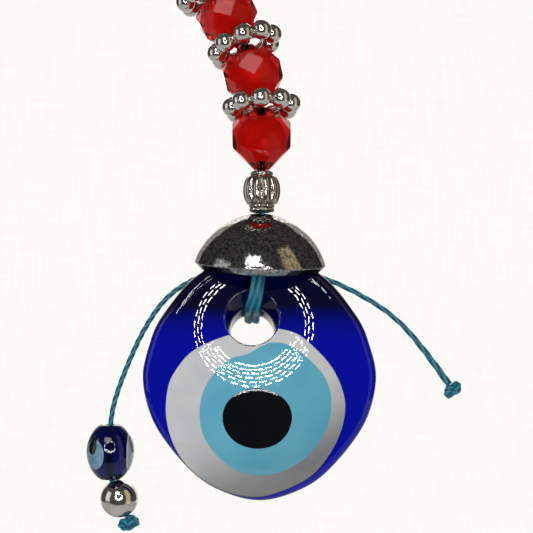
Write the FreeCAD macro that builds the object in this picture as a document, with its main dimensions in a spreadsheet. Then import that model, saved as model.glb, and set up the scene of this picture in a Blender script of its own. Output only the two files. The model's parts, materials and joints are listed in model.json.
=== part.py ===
import FreeCAD, Part
import math
import os

import Sketcher
from FreeCAD import Placement, Rotation, Vector

# Evil eye ornament: a glass eye under a metal cap, on a short strand of red beads.
# Millimetres, +Z up, front faces -Y. The origin is the inner top of the hanging loop.

doc = FreeCAD.newDocument("evil_eye_ornament")
sheet = doc.addObject("Spreadsheet::Sheet", "Sizes")

DIMENSIONS = {
    # cords
    "cord_radius": 0.425,
    "core_radius": 0.6,
    "bore_radius": 0.68,
    "small_bore_radius": 0.5,
    "joint_gap": 0.15,
    # hanging loop and its knot
    "loop_height": 25.9,
    "loop_bend": 4.2,
    "knot_radius": 1.8,
    "knot_flatness": 0.85,
    # fluted beads
    "fluted_height": 6.6,
    "fluted_core_radius": 2.1,
    "rib_offset": 1.95,
    "rib_radius": 1.0,
    "rib_half_height": 2.75,
    "bead_play": 0.15,
    "cap_play": 0.36,
    "collar_radius": 2.1,
    "collar_height": 1.1,
    # red beads
    "red_height": 9.8,
    "red_radius": 5.0,
    "red_foot_radius": 1.5,
    "red_flange_radius": 3.95,
    "red_flange_base_radius": 3.6,
    "red_flange_height": 0.5,
    "red_flange_drop": 1.85,
    "red_neck_radius": 2.4,
    "red_core_radius": 3.6,
    "red_core_level": 4.9,
    "ring_seat": 0.35,
    # ball spacers
    "ball_radius": 1.6,
    "ball_circle_radius": 4.75,
    "web_radius": 3.7,
    "web_hole_radius": 2.6,
    "web_height": 0.7,
    "bridge_radius": 0.4,
    # cap
    "cap_radius": 10.4,
    "cap_lip_radius": 9.5,
    "cap_lip_height": 0.9,
    "cap_height": 8.8,
    "cap_wall": 0.55,
    "cap_hole_radius": 1.35,
    "cap_top_radius": 2.2,
    "cap_bend": 11.5,
    # glass pendant
    "disc_front_dome": 65.0,
    "disc_back_dome": 130.0,
    "disc_front": 4.5,
    "disc_back": 3.6,
    "disc_half_height": 19.4,
    "disc_edge_round": 1.7,
    "hole_radius": 3.42,
    "hole_slope": 21.0,
    "hole_length": 16.0,
    "mouth_front_radius": 5.7,
    "mouth_back_radius": 2.65,
    "mouth_depth": 5.2,
    "layer_reach": 10.0,
    "white_major": 14.3,
    "white_minor": 13.3,
    "white_floor": 1.4,
    "blue_major": 10.35,
    "blue_minor": 10.25,
    "blue_floor": 2.4,
    "pupil_major": 5.45,
    "pupil_minor": 4.75,
    "pupil_floor": 3.3,
    # small beads on the side cord
    "eye_bead_height": 8.7,
    "eye_bead_radius": 3.4,
    "eye_bead_end_radius": 1.7,
    "eye_bead_bend": 5.6,
    "iris_radius": 2.0,
    "iris_depth": 0.7,
    "iris_drop": 0.3,
    "drop_radius": 0.85,
    "drop_rise": 1.1,
    "drop_depth": 0.45,
    "silver_radius": 3.0,
    "end_knot_radius": 1.75,
    "end_knot_flatness": 0.7,
}
for row, (alias, value) in enumerate(DIMENSIONS.items(), start=1):
    sheet.set("A%d" % row, alias)
    sheet.set("B%d" % row, str(value))
    sheet.setAlias("B%d" % row, alias)
doc.recompute()

AXIS_Z = Vector(0, 0, 1)
EYE_BEARINGS = (-128.0, -8.0)
PARTS = {}
RADII = []


def size(alias):
    """Value of a driving dimension, read from the sheet."""
    return float(getattr(sheet, alias))


def bind(item, **cells):
    """Bind each named property of an object to an expression of sheet cells."""
    for name, expression in cells.items():
        item.setExpression(name, expression)
    return item


def keep(label, item):
    """Name a finished sub-part; its label is the name of its file."""
    item.Label = label
    PARTS[label] = item
    return item


def placed(origin, turn=None):
    return Placement(origin, turn or Rotation())


def primitive(kind, name, origin, turn=None, **cells):
    item = doc.addObject("Part::" + kind, name)
    item.Placement = placed(origin, turn)
    return bind(item, **cells)


def cut(name, base, tool):
    item = doc.addObject("Part::Cut", name)
    item.Base = base
    item.Tool = tool
    return item


def common(name, first, second):
    item = doc.addObject("Part::Common", name)
    item.Base = first
    item.Tool = second
    return item


def fused(name, items):
    item = doc.addObject("Part::MultiFuse", name)
    item.Shapes = items
    return item


def feature(name, shape, placement=None):
    """A shape made with Part's own functions; its placement is set after its shape."""
    item = doc.addObject("Part::Feature", name)
    item.Shape = shape
    if placement is not None:
        item.Placement = placement
    return item


# ---------------------------------------------------------------- directions along the strand

def downward(lean, back):
    """Unit vector down a link whose top leans left by lean and back by back, in degrees."""
    side = math.radians(lean)
    depth = math.radians(back)
    return Vector(
        math.sin(side) * math.cos(depth),
        -math.sin(depth),
        -math.cos(side) * math.cos(depth),
    )


def upright(direction):
    """Rotation that turns +Z to point up the link."""
    return Rotation(AXIS_Z, direction * -1)


# ---------------------------------------------------------------- revolved PartDesign bodies

def span(*aliases):
    """A sum of sheet cells as (value, expression); a leading minus subtracts the cell."""
    value = 0.0
    terms = []
    for alias in aliases:
        sign = "-" if alias.startswith("-") else "+"
        cell = alias.lstrip("-")
        value += size(cell) if sign == "+" else -size(cell)
        terms.append(sign + " Sizes." + cell)
    return value, " ".join(terms).lstrip("+ ")


def bulged(start, end, radius, side):
    """Arc from start to end, bulging right (1) or left (-1) of the way; True if it runs backwards."""
    chord = end - start
    outward = Vector(chord.y, -chord.x, 0).normalize() * side
    centre = (start + end) * 0.5 - outward * math.sqrt(radius ** 2 - (chord.Length / 2) ** 2)
    angles = [math.atan2(point.y - centre.y, point.x - centre.x) for point in (start, end)]
    backwards = side < 0
    if backwards:
        angles.reverse()
    if angles[1] < angles[0]:
        angles[1] += 2 * math.pi
    return Part.ArcOfCircle(Part.Circle(centre, AXIS_Z, radius), *angles), backwards


def revolved_body(name, corners, arcs, placement):
    """Body turned from a closed profile of (radius, height) corners, some sides being arcs.

    arcs maps the index of a side's first corner to (radius alias, bulge side).
    A height of None lies on the base line.
    """
    body = doc.addObject("PartDesign::Body", name)
    planes = {plane.Role: plane for plane in body.Origin.OriginFeatures}
    sketch = body.newObject("Sketcher::SketchObject", name + "_profile")
    sketch.AttachmentSupport = [(planes["XZ_Plane"], "")]
    sketch.MapMode = "FlatFace"
    points = [Vector(r[0], z[0] if z else 0, 0) for r, z in corners]
    count = len(points)
    ends = []
    for index, start in enumerate(points):
        end = points[(index + 1) % count]
        if index in arcs:
            alias, side = arcs[index]
            arc, backwards = bulged(start, end, size(alias), side)
            sketch.addGeometry(arc, False)
            ends.append((2, 1) if backwards else (1, 2))
        else:
            sketch.addGeometry(Part.LineSegment(start, end), False)
            ends.append((1, 2))
    for index in range(count):
        following = (index + 1) % count
        sketch.addConstraint(
            Sketcher.Constraint("Coincident", index, ends[index][1], following, ends[following][0])
        )
    for index, (r, z) in enumerate(corners):
        at = (index, ends[index][0])
        number = sketch.addConstraint(Sketcher.Constraint("DistanceX", -1, 1, *at, r[0]))
        sketch.setExpression("Constraints[%d]" % number, r[1])
        if z is None:
            sketch.addConstraint(Sketcher.Constraint("PointOnObject", *at, -1))
        else:
            number = sketch.addConstraint(Sketcher.Constraint("DistanceY", -1, 1, *at, z[0]))
            sketch.setExpression("Constraints[%d]" % number, z[1])
    for index, (alias, _side) in arcs.items():
        number = sketch.addConstraint(Sketcher.Constraint("Radius", index, size(alias)))
        sketch.setExpression("Constraints[%d]" % number, "Sizes." + alias)
    turned = body.newObject("PartDesign::Revolution", name + "_turned")
    turned.Profile = sketch
    turned.ReferenceAxis = (sketch, ["V_Axis"])
    turned.Angle = 360
    body.Placement = placement
    return body


# ---------------------------------------------------------------- cords

def cord_path(route):
    """Straight runs through hand-set points, joined by tangent arcs as large as the runs allow."""
    points = [Vector(*point) for point in route]
    edges = []
    start = points[0]
    for before, corner, after in zip(points, points[1:], points[2:]):
        inward = before - corner
        outward = after - corner
        reach = 0.45 * min(inward.Length, outward.Length)
        inward.normalize()
        outward.normalize()
        half_turn = (math.pi - inward.getAngle(outward)) / 2
        radius = reach / math.tan(half_turn)
        RADII.append(radius)
        first = corner + inward * reach
        last = corner + outward * reach
        middle_way = (inward + outward).normalize()
        middle = corner + middle_way * (radius / math.cos(half_turn) - radius)
        edges.append(Part.LineSegment(start, first).toShape())
        edges.append(Part.Arc(first, middle, last).toShape())
        start = last
    edges.append(Part.LineSegment(start, points[-1]).toShape())
    return Part.Wire(edges)


def tube(path, radius):
    """Round tube along a wire, checked against its section times its length."""
    first = path.Edges[0]
    heading = first.tangentAt(first.FirstParameter)
    ring = Part.makeCircle(radius, first.valueAt(first.FirstParameter), heading)
    solid = path.makePipeShell([Part.Wire([ring])], True, False)
    expected = math.pi * radius ** 2 * path.Length
    if abs(solid.Volume / expected - 1) > 0.01:
        raise RuntimeError("tube volume %.3f, expected %.3f" % (solid.Volume, expected))
    return solid


# ---------------------------------------------------------------- pieces of the strand

def hanging_loop():
    """Teardrop loop: two legs from the knot, tangent to the round bend over the hook."""
    bend = size("loop_bend")
    centre = Vector(0, 0, size("cord_radius") - bend)
    foot = Vector(size("cord_radius") * 1.25, 0, -size("loop_height"))
    reach = foot - centre
    swing = math.acos(bend / reach.Length) + math.atan2(reach.z, reach.x)
    touch = centre + Vector(math.cos(swing), 0, math.sin(swing)) * bend
    mirrored = Vector(-touch.x, 0, touch.z)
    left_foot = Vector(-foot.x, 0, foot.z)
    top = centre + Vector(0, 0, bend)
    path = Part.Wire([
        Part.LineSegment(left_foot, mirrored).toShape(),
        Part.Arc(mirrored, top, touch).toShape(),
        Part.LineSegment(touch, foot).toShape(),
    ])
    RADII.append(bend)
    return keep("hanging_loop", feature("HangingLoop", tube(path, size("cord_radius"))))


def fluted_bead(label, top, direction):
    """Ten ribs round a barrel, with a collar at each end and a bore for the core cord."""
    turn = upright(direction)
    foot = top + direction * size("fluted_height")
    middle = top + direction * (size("fluted_height") / 2)
    rib_count = 10
    pieces = [
        primitive("Cylinder", label + "_barrel", foot, turn,
                  Radius="Sizes.fluted_core_radius", Height="Sizes.fluted_height"),
        primitive("Cylinder", label + "_foot_collar", foot, turn,
                  Radius="Sizes.collar_radius", Height="Sizes.collar_height"),
        primitive("Cylinder", label + "_top_collar", top + direction * size("collar_height"), turn,
                  Radius="Sizes.collar_radius", Height="Sizes.collar_height"),
    ]
    for index in range(rib_count):
        spin = Rotation(AXIS_Z, 360.0 * index / rib_count)
        offset = turn.multVec(spin.multVec(Vector(size("rib_offset"), 0, 0)))
        pieces.append(
            primitive("Ellipsoid", "%s_rib_%d" % (label, index), middle + offset, turn,
                      Radius1="Sizes.rib_half_height", Radius2="Sizes.rib_radius",
                      Radius3="Sizes.rib_radius")
        )
    bore = primitive("Cylinder", label + "_bore", foot + direction, turn,
                     Radius="Sizes.bore_radius", Height="Sizes.fluted_height + 2")
    return keep(label, cut(label + "_drilled", fused(label + "_ribbed", pieces), bore))


def half_space(normal, distance):
    """Large block beyond a facet plane, used to cut the facet."""
    side = 30.0
    block = Part.makeBox(side, side, side, Vector(-side / 2, -side / 2, 0))
    block.Placement = Placement(normal * distance, Rotation(AXIS_Z, normal))
    return block


def faceted_bead():
    """Cut acrylic bead about its lower end: four belts of facets under a flared top flange."""
    foot = size("red_foot_radius")
    widest = size("red_radius")
    flange_base = size("red_height") - size("red_flange_drop")
    spare = 2.0
    cone_spread = 1.3
    cone_top = (widest + spare - foot) / cone_spread
    blank = Part.makeCylinder(widest + spare, flange_base)
    facets_per_belt = 8
    # each belt: tilt of its facets from the horizontal, distance from the bead's middle, half-step turn
    belts = (
        (-44.0, 4.3, 0.0),
        (-22.0, 4.4, 0.5),
        (0.0, 4.62, 0.0),
        (26.0, 4.95, 0.5),
    )
    centre = Vector(0, 0, size("red_core_level"))
    for tilt, distance, half_step in belts:
        slope = math.radians(tilt)
        for index in range(facets_per_belt):
            bearing = 2 * math.pi * (index + half_step) / facets_per_belt
            normal = Vector(
                math.cos(slope) * math.cos(bearing),
                math.cos(slope) * math.sin(bearing),
                math.sin(slope),
            )
            block = half_space(normal, distance)
            block.translate(centre)
            blank = blank.cut(block)
    lower_cone = Part.makeCone(foot, widest + spare, cone_top)
    upper_room = Part.makeCylinder(widest + spare, size("red_height"), Vector(0, 0, cone_top))
    blank = blank.common(lower_cone.fuse(upper_room))
    flange = Part.makeCone(
        size("red_flange_base_radius"), size("red_flange_radius"),
        size("red_flange_height"), Vector(0, 0, flange_base - size("red_flange_height")),
    )
    neck = Part.makeCone(
        size("red_neck_radius"), foot, size("red_flange_drop"), Vector(0, 0, flange_base)
    )
    return blank.fuse([flange, neck]).removeSplitter()


def red_bead(index, foot, direction, blank):
    """Clear faceted shell cast round an opaque ball; both are bored for the core cord."""
    turn = upright(direction)
    level = foot - direction * size("red_core_level")
    outer = feature("RedBlank%d" % index, blank, placed(foot, turn))
    ball = primitive("Sphere", "RedHollow%d" % index, level, turn, Radius="Sizes.red_core_radius")
    bore = primitive("Cylinder", "RedBore%d" % index, foot + direction, turn,
                     Radius="Sizes.bore_radius", Height="Sizes.red_height + 2")
    hollow = cut("RedHollowed%d" % index, outer, ball)
    keep("red_shell_%d" % index, cut("RedShell%d" % index, hollow, bore))
    keep("red_core_%d" % index, cut("RedCore%d" % index, ball, bore))


def spacer_pattern():
    """Nine balls on a thin web with an open middle, bridged ball to ball, about its centre."""
    centre = Vector(0, 0, 0)
    web_foot = Vector(0, 0, -size("web_height") / 2)
    pieces = [
        primitive("Cylinder", "SpacerWeb", web_foot, None,
                  Radius="Sizes.web_radius", Height="Sizes.web_height"),
        primitive("Torus", "SpacerBridge", centre, None,
                  Radius1="Sizes.ball_circle_radius", Radius2="Sizes.bridge_radius"),
    ]
    ball_count = 9
    for ball in range(ball_count):
        spin = Rotation(AXIS_Z, 360.0 * ball / ball_count - 90.0)
        offset = spin.multVec(Vector(size("ball_circle_radius"), 0, 0))
        pieces.append(
            primitive("Sphere", "SpacerBall%d" % ball, offset, None, Radius="Sizes.ball_radius")
        )
    hole = primitive("Cylinder", "SpacerHole", Vector(0, 0, -size("ball_radius") * 2), None,
                     Radius="Sizes.web_hole_radius", Height="Sizes.ball_radius * 4")
    return cut("SpacerPattern", fused("SpacerCluster", pieces), hole)


def ball_spacer(index, centre, direction, pattern):
    """One copy of the spacer, with its open middle round the strand."""
    copy = doc.addObject("Part::Compound", "Spacer%d" % index)
    copy.Links = [pattern]
    copy.Placement = placed(centre, upright(direction))
    return keep("daisy_spacer_%d" % index, copy)


def core_cord(index, top, direction, length):
    return keep(
        "core_cord_%d" % index,
        primitive("Cylinder", "CoreCord%d" % index, top + direction * length, upright(direction),
                  Radius="Sizes.core_radius", Height=str(length)),
    )


def cap(apex, direction):
    """Spun metal dome with a turned-in lip, open below and pierced on top for the cord."""
    lip = span("cap_lip_radius")
    corners = [
        (lip, None),
        (span("cap_radius"), span("cap_lip_height")),
        (span("cap_top_radius"), span("cap_height")),
        (span("cap_hole_radius"), span("cap_height")),
        (span("cap_hole_radius"), span("cap_height", "-cap_wall")),
        (span("cap_top_radius"), span("cap_height", "-cap_wall")),
        (span("cap_radius", "-cap_wall"), span("cap_lip_height")),
        (span("cap_lip_radius", "-cap_wall"), None),
    ]
    arcs = {1: ("cap_bend", 1), 5: ("cap_bend", -1)}
    foot = apex + direction * size("cap_height")
    return keep("cap", revolved_body("Cap", corners, arcs, placed(foot, upright(direction))))


# ---------------------------------------------------------------- glass pendant

def disc_outline(centre):
    """Rounded pear outline in the XZ plane, as half-widths at heights about the widest level."""
    half_widths = (
        (16.9, 9.1), (10.2, 15.2), (5.2, 17.5), (-0.5, 18.5),
        (-7.5, 16.5), (-14.6, 10.95), (-17.9, 6.0),
    )
    top = size("disc_half_height")
    bottom = -top
    right = [centre + Vector(width, 0, height) for height, width in half_widths]
    left = [centre + Vector(-width, 0, height) for height, width in reversed(half_widths)]
    ring = [centre + Vector(0, 0, top)] + right + [centre + Vector(0, 0, bottom)] + left
    curve = Part.BSplineCurve()
    curve.interpolate(Points=ring, PeriodicFlag=True)
    return Part.Wire([curve.toShape()])


def disc_blank(centre):
    """Pressed glass: shallow dome in front, flatter dome behind, rounded rim."""
    front = size("disc_front")
    back = size("disc_back")
    face = Part.Face(disc_outline(centre + Vector(0, -front - 1, 0)))
    slab = face.extrude(Vector(0, front + back + 2, 0))
    front_ball = Part.makeSphere(
        size("disc_front_dome"), centre + Vector(0, size("disc_front_dome") - front, 0)
    )
    back_ball = Part.makeSphere(
        size("disc_back_dome"), centre + Vector(0, back - size("disc_back_dome"), 0)
    )
    lens = slab.common(front_ball).common(back_ball)
    rim = [edge for edge in lens.Edges if edge.Length > 40]
    return lens.makeFillet(size("disc_edge_round"), rim)


def oval_tool(name, centre, layer):
    """Oval prism from in front of the glass down to a layer's flat floor behind its front face."""
    oval = doc.addObject("Part::Ellipse", name + "Outline")
    turn = Rotation(Vector(1, 0, 0), 90)
    oval.Placement = placed(centre + Vector(0, -size(layer + "_floor"), 0), turn)
    bind(oval, MajorRadius="Sizes.%s_major" % layer, MinorRadius="Sizes.%s_minor" % layer)
    prism = doc.addObject("Part::Extrusion", name + "Tool")
    prism.Base = oval
    prism.DirMode = "Custom"
    prism.Dir = Vector(0, -1, 0)
    prism.Solid = True
    return bind(prism, LengthFwd="Sizes.layer_reach - Sizes.%s_floor" % layer, LengthRev="0")


def glass_pendant(centre):
    """Cobalt disc with a white, a light blue and a black layer let into its front."""
    blank = feature("DiscBlank", disc_blank(centre))
    front_room = 2.5
    hole_at = centre + Vector(-1.15, -size("disc_front") - front_room, 9.22)
    slope = Rotation(Vector(1, 0, 0), -90 - size("hole_slope"))
    hole = primitive("Cylinder", "DiscHole", hole_at + Vector(0, 0, 0.69), slope,
                     Radius="Sizes.hole_radius", Height="Sizes.hole_length")
    mouth = primitive("Cone", "DiscHoleMouth", hole_at + Vector(0, 0, 0.43), Rotation(Vector(1, 0, 0), -90),
                      Radius1="Sizes.mouth_front_radius", Radius2="Sizes.mouth_back_radius",
                      Height="Sizes.mouth_depth")
    back_mouth = primitive("Cone", "DiscHoleBackMouth", centre + Vector(-1.15, size("disc_back") - 1.7, 6.5),
                           Rotation(Vector(1, 0, 0), -90), Radius1="Sizes.hole_radius - 0.3",
                           Radius2="Sizes.hole_radius + 0.8", Height="2.2")
    opening = fused("DiscOpening", [hole, mouth, back_mouth])
    drilled = cut("DiscDrilled", blank, opening)
    white_tool = oval_tool("White", centre + Vector(-0.68, 0, -5.5), "white")
    blue_tool = oval_tool("Blue", centre + Vector(0.95, 0, -5.15), "blue")
    pupil_tool = oval_tool("Pupil", centre + Vector(-0.3, 0, -6.5), "pupil")
    keep("glass_disc", cut("GlassDisc", drilled, white_tool))
    white = common("WhiteInlay", drilled, white_tool)
    keep("eye_white", cut("EyeWhite", white, blue_tool))
    blue = common("BlueInlay", drilled, blue_tool)
    keep("eye_light_blue", cut("EyeLightBlue", blue, pupil_tool))
    keep("eye_pupil", common("EyePupil", drilled, pupil_tool))


# ---------------------------------------------------------------- small beads on the side cord

def eye_bead(top, direction):
    """Barrel of cobalt glass with two pressed eyes, each an iris disc with a dark spot in it."""
    turn = upright(direction)
    foot = top + direction * size("eye_bead_height")
    corners = [
        (span("small_bore_radius"), None),
        (span("eye_bead_end_radius"), None),
        (span("eye_bead_end_radius"), span("eye_bead_height")),
        (span("small_bore_radius"), span("eye_bead_height")),
    ]
    barrel = revolved_body("LeftEyeBarrel", corners, {1: ("eye_bead_bend", 1)}, placed(foot, turn))
    middle = top + direction * (size("eye_bead_height") / 2)
    irises = []
    drops = []
    for index, bearing in enumerate(EYE_BEARINGS):
        outward = turn.multVec(Rotation(AXIS_Z, bearing).multVec(Vector(1, 0, 0)))
        facing = Rotation(AXIS_Z, outward)
        spot = middle + outward * (size("eye_bead_radius") - size("iris_depth"))
        irises.append(
            primitive("Cylinder", "Iris%d" % index, spot + direction * size("iris_drop"), facing,
                      Radius="Sizes.iris_radius", Height="Sizes.eye_bead_radius")
        )
        pit = spot + outward * (size("iris_depth") - size("drop_depth")) - direction * size("drop_rise")
        drops.append(
            primitive("Cylinder", "Drop%d" % index, pit, facing,
                      Radius="Sizes.drop_radius", Height="Sizes.eye_bead_radius")
        )
    all_irises = fused("AllIrises", irises)
    all_drops = fused("AllDrops", drops)
    keep("left_eye_bead", cut("LeftEyeBead", cut("LeftEyeCut", barrel, all_irises), all_drops))
    iris_discs = common("IrisDiscs", barrel, all_irises)
    keep("left_bead_iris", cut("LeftBeadIris", iris_discs, all_drops))
    keep("left_bead_pupil", common("LeftBeadPupil", barrel, all_drops))


def knot(label, centre, turn, name):
    """Flattened ball of tightened cord."""
    flat = "Sizes.%s_radius * Sizes.%s_flatness" % (name, name)
    wide = "Sizes.%s_radius" % name
    return keep(
        label,
        primitive("Ellipsoid", label + "_ball", centre, turn, Radius1=flat, Radius2=wide, Radius3=wide),
    )


def cord(label, route):
    return keep(label, feature(label + "_tube", tube(cord_path(route), size("cord_radius"))))


# ---------------------------------------------------------------- assembly

# lean to the left and back of each stiff link of the strand, from the loop down
LINK_LEAN = {4: (17.0, -0.6), 3: (30.5, 9.0), 2: (15.0, 10.0), 1: (0.2, 4.0)}
# each spacer lies between the beads above and below it
SPACER_LEAN = {3: (25.0, 9.0), 2: (20.5, 16.5), 1: (4.0, 12.0)}
CAP_DIRECTION = downward(-2.0, -5.0)

hanging_loop()
knot_half_height = size("knot_radius") * size("knot_flatness")
knot_centre = Vector(0, 0, -size("loop_height") - knot_half_height)
knot("loop_knot", knot_centre, None, "knot")

gap = size("joint_gap")
play = size("bead_play")
seat = size("ring_seat")
red_height = size("red_height")
fluted_height = size("fluted_height")
bead_blank = faceted_bead()
spacer = spacer_pattern()

joints = {"knot_swing": knot_centre}
link_top = knot_centre + Vector(0, 0, -knot_half_height)
for link in (4, 3, 2, 1):
    direction = downward(*LINK_LEAN[link])
    if link == 4:
        fluted_bead("fluted_bead_top", link_top + direction * (gap + play), direction)
        red_top = gap + play * 2 + fluted_height
    else:
        ball_spacer(link, link_top, downward(*SPACER_LEAN[link]), spacer)
        red_top = seat
    red_foot = red_top + red_height
    red_bead(link, link_top + direction * red_foot, direction, bead_blank)
    length = red_foot + seat - 2 * gap
    if link == 1:
        fluted_top = red_foot + play
        fluted_bead("fluted_bead_bottom", link_top + direction * fluted_top, direction)
        length = fluted_top + fluted_height + size("cap_play") + size("cap_wall") - gap
    core_cord(link, link_top + direction * gap, direction, length)
    joints["link_%d_top" % link] = link_top
    if link > 1:
        link_top = link_top + direction * (red_foot + seat)

cap_apex = link_top + direction * (length + gap - size("cap_wall"))
cap(cap_apex, CAP_DIRECTION)
cap_knot_centre = cap_apex + direction * (size("cap_wall") + 0.1 + knot_half_height)
knot("cap_knot", cap_knot_centre, None, "knot")
joints["cap_spin"] = cap_apex
joints["pendant_swing"] = cap_knot_centre

DISC_CENTRE = Vector(12.646, -4.473, -107.592)
glass_pendant(DISC_CENTRE)

# Each strand goes down in front of the glass, back through the hole and up behind to the knot.
STRAND_SPACING = 1.2
STRAND_ROUTE = [
    (12.75, -6.2, -85.3), (12.3, -7.7, -89.6), (11.6, -8.9, -94.2), (11.1, -7.7, -96.2),
    (10.9, -4.7, -97.1), (10.9, -0.9, -98.9), (10.95, 0.55, -97.5), (11.2, -0.2, -94.0),
    (12.0, -0.9, -89.9), (12.75, -3.0, -85.4),
]
cord("pendant_cord_left", STRAND_ROUTE)
cord("pendant_cord_right", [(x + STRAND_SPACING, y, z) for x, y, z in STRAND_ROUTE])

# Side cords: a hidden start behind the glass, then the free cord from its first bend.
LEFT_ROOT_ROUTE = [(11.5, -3.9, -85.0), (10.2, -1.7, -88.3), (8.2, -1.3, -89.9), (5.45, -1.4, -90.55)]
RIGHT_ROOT_ROUTE = [(15.1, -3.9, -85.0), (15.6, -1.7, -88.2), (16.7, -1.35, -89.6), (18.36, -1.4, -90.33)]
LEFT_ROUTE = [
    (5.2, -1.4, -90.6), (1.4, -1.6, -92.1), (-2.7, -2.0, -95.1), (-6.0, -2.5, -100.1),
    (-8.6, -2.9, -105.9), (-10.55, -3.1, -111.3), (-11.2, -3.1, -115.1),
]
RIGHT_ROUTE = [
    (18.6, -1.4, -90.4), (22.6, -1.6, -91.5), (28.2, -2.0, -94.0), (34.0, -2.6, -97.6),
    (38.6, -3.0, -102.6), (42.9, -3.2, -108.7),
]
cord("left_cord_root", LEFT_ROOT_ROUTE)
cord("right_cord_root", RIGHT_ROOT_ROUTE)
cord("left_cord", LEFT_ROUTE)
cord("right_cord", RIGHT_ROUTE)
joints["left_cord_swing"] = Vector(*LEFT_ROUTE[0])
joints["right_cord_swing"] = Vector(*RIGHT_ROUTE[0])

# Small beads on the left cord, then a stopper knot at each end.
STRAIGHT_DOWN = Vector(0, 0, -1)
BALL_DIRECTION = downward(22.4, 0)
bead_top = Vector(*LEFT_ROUTE[-1])
eye_bead(bead_top, STRAIGHT_DOWN)
bead_foot = bead_top + STRAIGHT_DOWN * size("eye_bead_height")
keep("left_bead_cord", primitive("Cylinder", "LeftBeadCord", bead_foot, None,
                                 Radius="Sizes.cord_radius", Height="Sizes.eye_bead_height"))
ball_centre = bead_foot + Vector(1.45, 0, -size("silver_radius") - 0.12)
ball = primitive("Sphere", "LeftBall", ball_centre, upright(BALL_DIRECTION), Radius="Sizes.silver_radius")
ball_foot = ball_centre + BALL_DIRECTION * (size("silver_radius") + 0.05)
ball_bore = primitive("Cylinder", "LeftBallBore", ball_foot + BALL_DIRECTION, upright(BALL_DIRECTION),
                      Radius="Sizes.small_bore_radius", Height="Sizes.silver_radius * 2 + 3")
keep("left_silver_ball", cut("LeftSilverBall", ball, ball_bore))
keep("left_ball_cord", primitive("Cylinder", "LeftBallCord", ball_foot, upright(BALL_DIRECTION),
                                 Radius="Sizes.cord_radius", Height="Sizes.silver_radius * 2 + 0.05"))


def end_knot(label, cord_end, direction):
    """Stopper knot just past the end of a cord."""
    centre = cord_end + direction * (size("end_knot_radius") * size("end_knot_flatness"))
    knot(label, centre, upright(direction), "end_knot")


end_knot("left_end_knot", ball_foot, BALL_DIRECTION)
right_end = Vector(*RIGHT_ROUTE[-1])
end_knot("right_end_knot", right_end, (right_end - Vector(*RIGHT_ROUTE[-2])).normalize())
joints["bead_top"] = bead_top
joints["ball_centre"] = ball_centre

# ---------------------------------------------------------------- checks and files

doc.recompute()
failed = [item.Name for item in doc.Objects if {"Invalid", "Error"} & set(item.State)]
if failed:
    raise RuntimeError("objects failed: %s" % failed)
for label, item in PARTS.items():
    if item.Shape.isNull() or not item.Shape.isValid():
        raise RuntimeError("bad shape: " + label)
os.makedirs("parts", exist_ok=True)
for label, item in PARTS.items():
    item.Shape.exportStep("parts/%s.step" % label)
print(len(PARTS), "sub-parts")
print("cord radii:", [round(radius, 2) for radius in RADII])
for name, point in joints.items():
    print(name, [round(value, 3) for value in point])
print("pendant", [round(value, 3) for value in DISC_CENTRE])
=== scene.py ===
import json
import math
import random

import bmesh
import bpy
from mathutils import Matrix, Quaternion, Vector


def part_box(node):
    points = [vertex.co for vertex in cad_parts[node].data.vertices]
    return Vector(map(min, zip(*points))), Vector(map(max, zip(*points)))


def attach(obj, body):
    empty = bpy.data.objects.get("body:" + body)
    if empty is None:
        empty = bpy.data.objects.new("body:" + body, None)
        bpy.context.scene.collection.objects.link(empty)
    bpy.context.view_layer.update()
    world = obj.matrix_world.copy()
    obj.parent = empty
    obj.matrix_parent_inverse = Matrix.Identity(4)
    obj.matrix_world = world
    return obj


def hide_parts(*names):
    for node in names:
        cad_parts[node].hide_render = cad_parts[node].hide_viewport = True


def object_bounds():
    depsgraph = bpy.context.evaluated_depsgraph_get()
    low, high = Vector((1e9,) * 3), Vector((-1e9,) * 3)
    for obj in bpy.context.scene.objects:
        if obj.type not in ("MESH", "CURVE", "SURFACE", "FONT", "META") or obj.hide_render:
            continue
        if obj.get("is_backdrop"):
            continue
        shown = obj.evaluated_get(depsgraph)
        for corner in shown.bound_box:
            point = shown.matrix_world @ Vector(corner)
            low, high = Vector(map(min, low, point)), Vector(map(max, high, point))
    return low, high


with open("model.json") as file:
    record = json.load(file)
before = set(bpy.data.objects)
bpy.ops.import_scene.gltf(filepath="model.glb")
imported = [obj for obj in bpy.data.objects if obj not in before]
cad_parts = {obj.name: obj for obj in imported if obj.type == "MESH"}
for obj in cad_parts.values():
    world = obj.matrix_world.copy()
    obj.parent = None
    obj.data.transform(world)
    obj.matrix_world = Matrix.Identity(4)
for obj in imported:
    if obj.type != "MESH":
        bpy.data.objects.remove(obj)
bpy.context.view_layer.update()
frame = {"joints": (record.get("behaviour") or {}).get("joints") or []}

# Evil eye ornament. Sizes are written in millimetres and scaled to metres as they are used.
MM = 0.001
UP = Vector((0, 0, 1))
scene = bpy.context.scene


def at(x, y, z):
    return Vector((x, y, z)) * MM


# ---------------------------------------------------------------- camera

camera_data = bpy.data.cameras.new("camera")
camera_data.lens = 102.1
camera_data.sensor_width = 36.0
camera = bpy.data.objects.new("camera", camera_data)
camera.location = at(13.77, -244.5, -89.87)
camera.rotation_euler = (math.radians(90), 0, 0)
scene.collection.objects.link(camera)
scene.camera = camera
scene.view_settings.view_transform = "Standard"

# ---------------------------------------------------------------- the frame's joints

JOINTS = {joint["name"]: joint for joint in frame["joints"]}


def joint_point(name):
    return Vector(JOINTS[name]["pos_m"])


def joint_axis(name):
    return Vector(JOINTS[name]["axis"])


# ---------------------------------------------------------------- materials

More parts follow.
